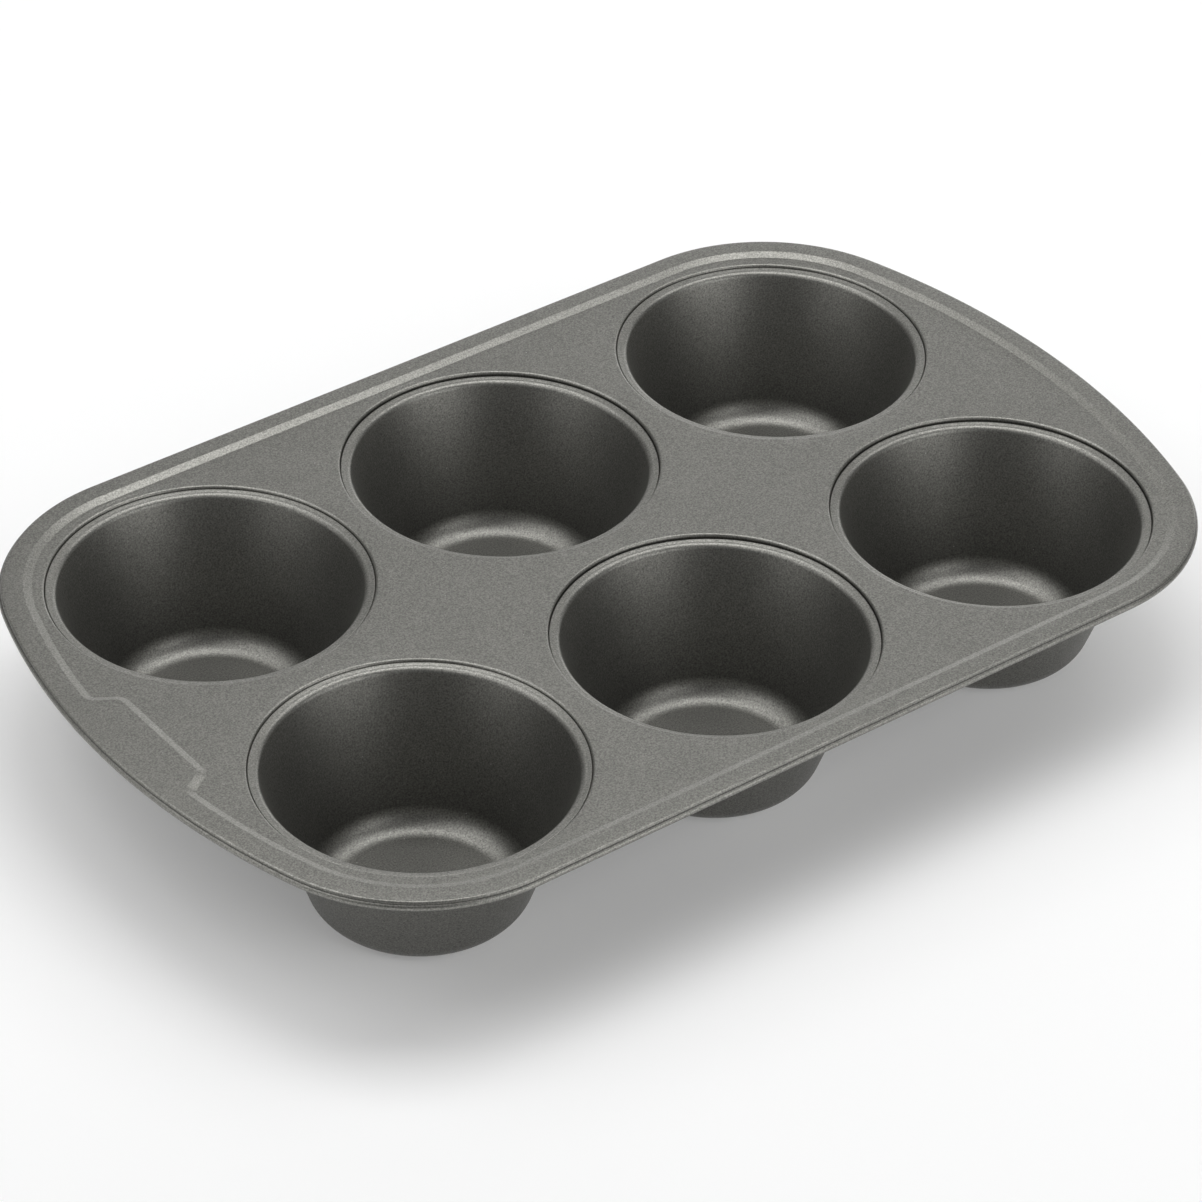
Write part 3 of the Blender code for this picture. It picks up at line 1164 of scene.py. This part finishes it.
@dataclass(frozen=True)
class FloorPaint:
    """Plain white floor that shows as white, keeps soft shadows and hides nothing from below.

    Attributes:
        name: The material's name.
        albedo: How much light it gives back.
        own_light: What it adds of its own for the camera and in reflections.
    """

    name: str = "floor_paint"
    albedo: float = 0.78
    own_light: float = 0.18

    def build(self) -> bpy.types.Material:
        """Make the material.

        From above it is paint, plus light of its own that the camera, glossy rays and rays
        through glass see and nothing else. From below it is clear.

        Returns:
            The material.
        """
        material = bpy.data.materials.new(self.name)
        graph = NodeGraph(material)
        rays = graph.add("LightPath").outputs
        seen = graph.math("MAXIMUM", rays["Is Camera Ray"], rays["Is Glossy Ray"])
        seen = graph.math("MAXIMUM", seen, rays["Is Transmission Ray"])
        paint = graph.add("BsdfDiffuse", Color=(self.albedo,) * 3 + (1.0,))
        glow = graph.add("Emission", Color=(1.0, 1.0, 1.0, 1.0),
                         Strength=graph.math("MULTIPLY", seen, self.own_light))
        lit = graph.add("AddShader", in0=paint.outputs[0], in1=glow.outputs[0])
        below = graph.add("NewGeometry").outputs["Backfacing"]
        clear = graph.add("BsdfTransparent")
        both = graph.add("MixShader", in0=below, in1=lit.outputs[0], in2=clear.outputs[0])
        graph.add("OutputMaterial", Surface=both.outputs[0])
        return material


@dataclass
class Lamp:
    """A soft box that points at the pan.

    Attributes:
        name: Its name.
        azimuth: Side that it stands on, in degrees, 0 at -Y and 90 at +X.
        elevation: Height over the horizon in degrees.
        glow: How bright its face is, where 1 shows as white.
        width: Width of its face.
        height: Height of its face.
        distance: Distance from the pan.
    """

    name: str
    azimuth: float
    elevation: float
    glow: float
    width: float = 0.9
    height: float = 0.9
    distance: float = 1.6

    def build(self, aim: Vector) -> None:
        """Hang the box so that it points at a place.

        A face that shines evenly gives pi times its area times its glow in watts.

        Args:
            aim: The place.
        """
        light = bpy.data.lights.new(self.name, "AREA")
        light.shape = "RECTANGLE"
        light.size, light.size_y = self.width, self.height
        light.energy = math.pi * self.width * self.height * self.glow
        lamp = bpy.data.objects.new(self.name, light)
        back = direction(self.azimuth, self.elevation)
        lamp.location = aim + back * self.distance
        lamp.rotation_mode = "QUATERNION"
        lamp.rotation_quaternion = back.to_track_quat("Z", "Y")
        lamp.visible_camera = False
        bpy.context.scene.collection.objects.link(lamp)


def direction(azimuth: float, elevation: float) -> Vector:
    """Return the unit direction towards an azimuth, 0 at -Y and 90 at +X, and an elevation."""
    turn, rise = math.radians(azimuth), math.radians(elevation)
    return Vector((math.sin(turn) * math.cos(rise), -math.cos(turn) * math.cos(rise),
                   math.sin(rise)))


@dataclass
class Studio:
    """Floor, surroundings, lamps and camera of the portrait.

    Attributes:
        floor_size: Length and width of the floor.
        floor_ticks: Points along each side of the floor's grid.
        wall_glow: Brightness of the room along the horizon.
        wall_top: Height at which the walls end, as the Z of a direction.
        ceiling_glow: Brightness of the room above that.
        lamp_aim: Place that the lamps point at.
        camera_azimuth: Side that the camera stands on in degrees.
        camera_elevation: Its height over the horizon in degrees.
        camera_roll: Its turn about its own axis in degrees.
        camera_distance: Its distance from camera_aim.
        camera_aim: Place in the middle of the picture.
        lens: Focal length in millimetres.
        sensor: Width of the picture on the sensor in millimetres.
        clip: Nearest and farthest distance that the camera sees.
    """

    floor_size: float = 12.0
    floor_ticks: int = 9
    wall_glow: float = 0.3
    wall_top: float = 0.3
    ceiling_glow: float = 0.05
    lamp_aim: tuple = (0.0, 0.0, 0.03)
    camera_azimuth: float = -37.96
    camera_elevation: float = 36.67
    camera_roll: float = 1.377
    camera_distance: float = 1.710535
    camera_aim: tuple = (-0.020284, -0.024322, 0.0537)
    lens: float = 153.73
    sensor: float = 36.0
    clip: tuple = (0.01, 100.0)

    def floor(self) -> None:
        """Lay the floor, a flat grid of points, under the cups."""
        ticks = np.linspace(-0.5, 0.5, self.floor_ticks) * self.floor_size
        xs, ys = np.meshgrid(ticks, ticks)
        points = np.column_stack([xs.ravel(), ys.ravel(), np.zeros(xs.size)])
        data = bpy.data.meshes.new("floor")
        faces = grid_faces(self.floor_ticks, self.floor_ticks, closed=False)
        data.from_pydata(points.tolist(), [], faces.tolist())
        data.materials.append(FloorPaint().build())
        floor = bpy.data.objects.new("floor", data)
        bpy.context.scene.collection.objects.link(floor)

    def world(self) -> None:
        """Surround the pan with a dim room whose walls are pale along the horizon."""
        world = bpy.data.worlds.new("room")
        bpy.context.scene.world = world
        graph = NodeGraph(world)
        look = graph.add("TexCoord").outputs["Generated"]
        height = graph.add("SeparateXYZ", Vector=look).outputs["Z"]
        strength = graph.remap(height, 0.0, self.wall_top, self.wall_glow, self.ceiling_glow)
        back = graph.add("Background", Color=(1.0, 1.0, 1.0, 1.0), Strength=strength)
        graph.add("OutputWorld", Surface=back.outputs[0])

    def lamps(self) -> None:
        """Hang wide boxes overhead and round the pan, with low cards between them."""
        for lamp in (
                Lamp("overhead_box", azimuth=142.0, elevation=78.0, glow=3.5),
                Lamp("back_right_box", azimuth=82.5, elevation=57.0, glow=2.45),
                Lamp("back_left_box", azimuth=202.5, elevation=57.0, glow=1.85),
                Lamp("left_box", azimuth=262.5, elevation=57.0, glow=1.75),
                Lamp("low_left_box", azimuth=240.0, elevation=33.0, glow=1.1),
                Lamp("left_card", azimuth=270.0, elevation=10.0, glow=1.2, width=1.0, height=0.5),
                Lamp("front_box", azimuth=15.0, elevation=33.0, glow=2.0),
                Lamp("front_card", azimuth=15.0, elevation=10.0, glow=1.7, width=1.5, height=0.5),
                Lamp("back_box", azimuth=142.0, elevation=33.0, glow=0.72),
                Lamp("back_card", azimuth=150.0, elevation=8.0, glow=1.25, width=1.4, height=0.5),
                Lamp("right_card", azimuth=115.0, elevation=10.0, glow=2.0, width=1.0, height=0.5)):
            lamp.build(Vector(self.lamp_aim))

    def camera(self) -> None:
        """Stand the camera where the portrait was taken from."""
        lens = bpy.data.cameras.new("portrait")
        lens.lens = self.lens
        lens.sensor_width = self.sensor
        lens.clip_start, lens.clip_end = self.clip
        camera = bpy.data.objects.new("portrait", lens)
        back = direction(self.camera_azimuth, self.camera_elevation)
        roll = Matrix.Rotation(math.radians(self.camera_roll), 3, back)
        turn = roll @ back.to_track_quat("Z", "Y").to_matrix()
        camera.matrix_world = (Matrix.Translation(Vector(self.camera_aim)
                                                  + back * self.camera_distance)
                               @ turn.to_4x4())
        bpy.context.scene.collection.objects.link(camera)
        bpy.context.scene.camera = camera

    def build(self) -> None:
        """Set up everything round the pan."""
        self.floor()
        self.world()
        self.lamps()
        self.camera()
        bpy.context.scene.view_settings.view_transform = "Standard"


def main() -> None:
    """Build the studio, the tray and the cups, and report each piece."""
    logging.basicConfig(level=logging.INFO, format="%(message)s")
    Studio().build()
    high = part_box("tray")[1]
    tray = Tray(Seam(plate_top=high[2] - Tray.step_rise), Outline(high[0], high[1]))
    tray_coat = CoatedSteel("coated_tray_steel", colour=(0.205, 0.203, 0.187)).build()
    # The cups' coating is the tray's, painted about five per cent darker as shade.
    cup_coat = CoatedSteel("coated_cup_steel", colour=(0.195, 0.193, 0.178)).build()
    tray.place(tray_coat)
    for row in Row:
        for column in Column:
            Cup(tray.seam, row, column).place(cup_coat)


if __name__ == "__main__":
    main()
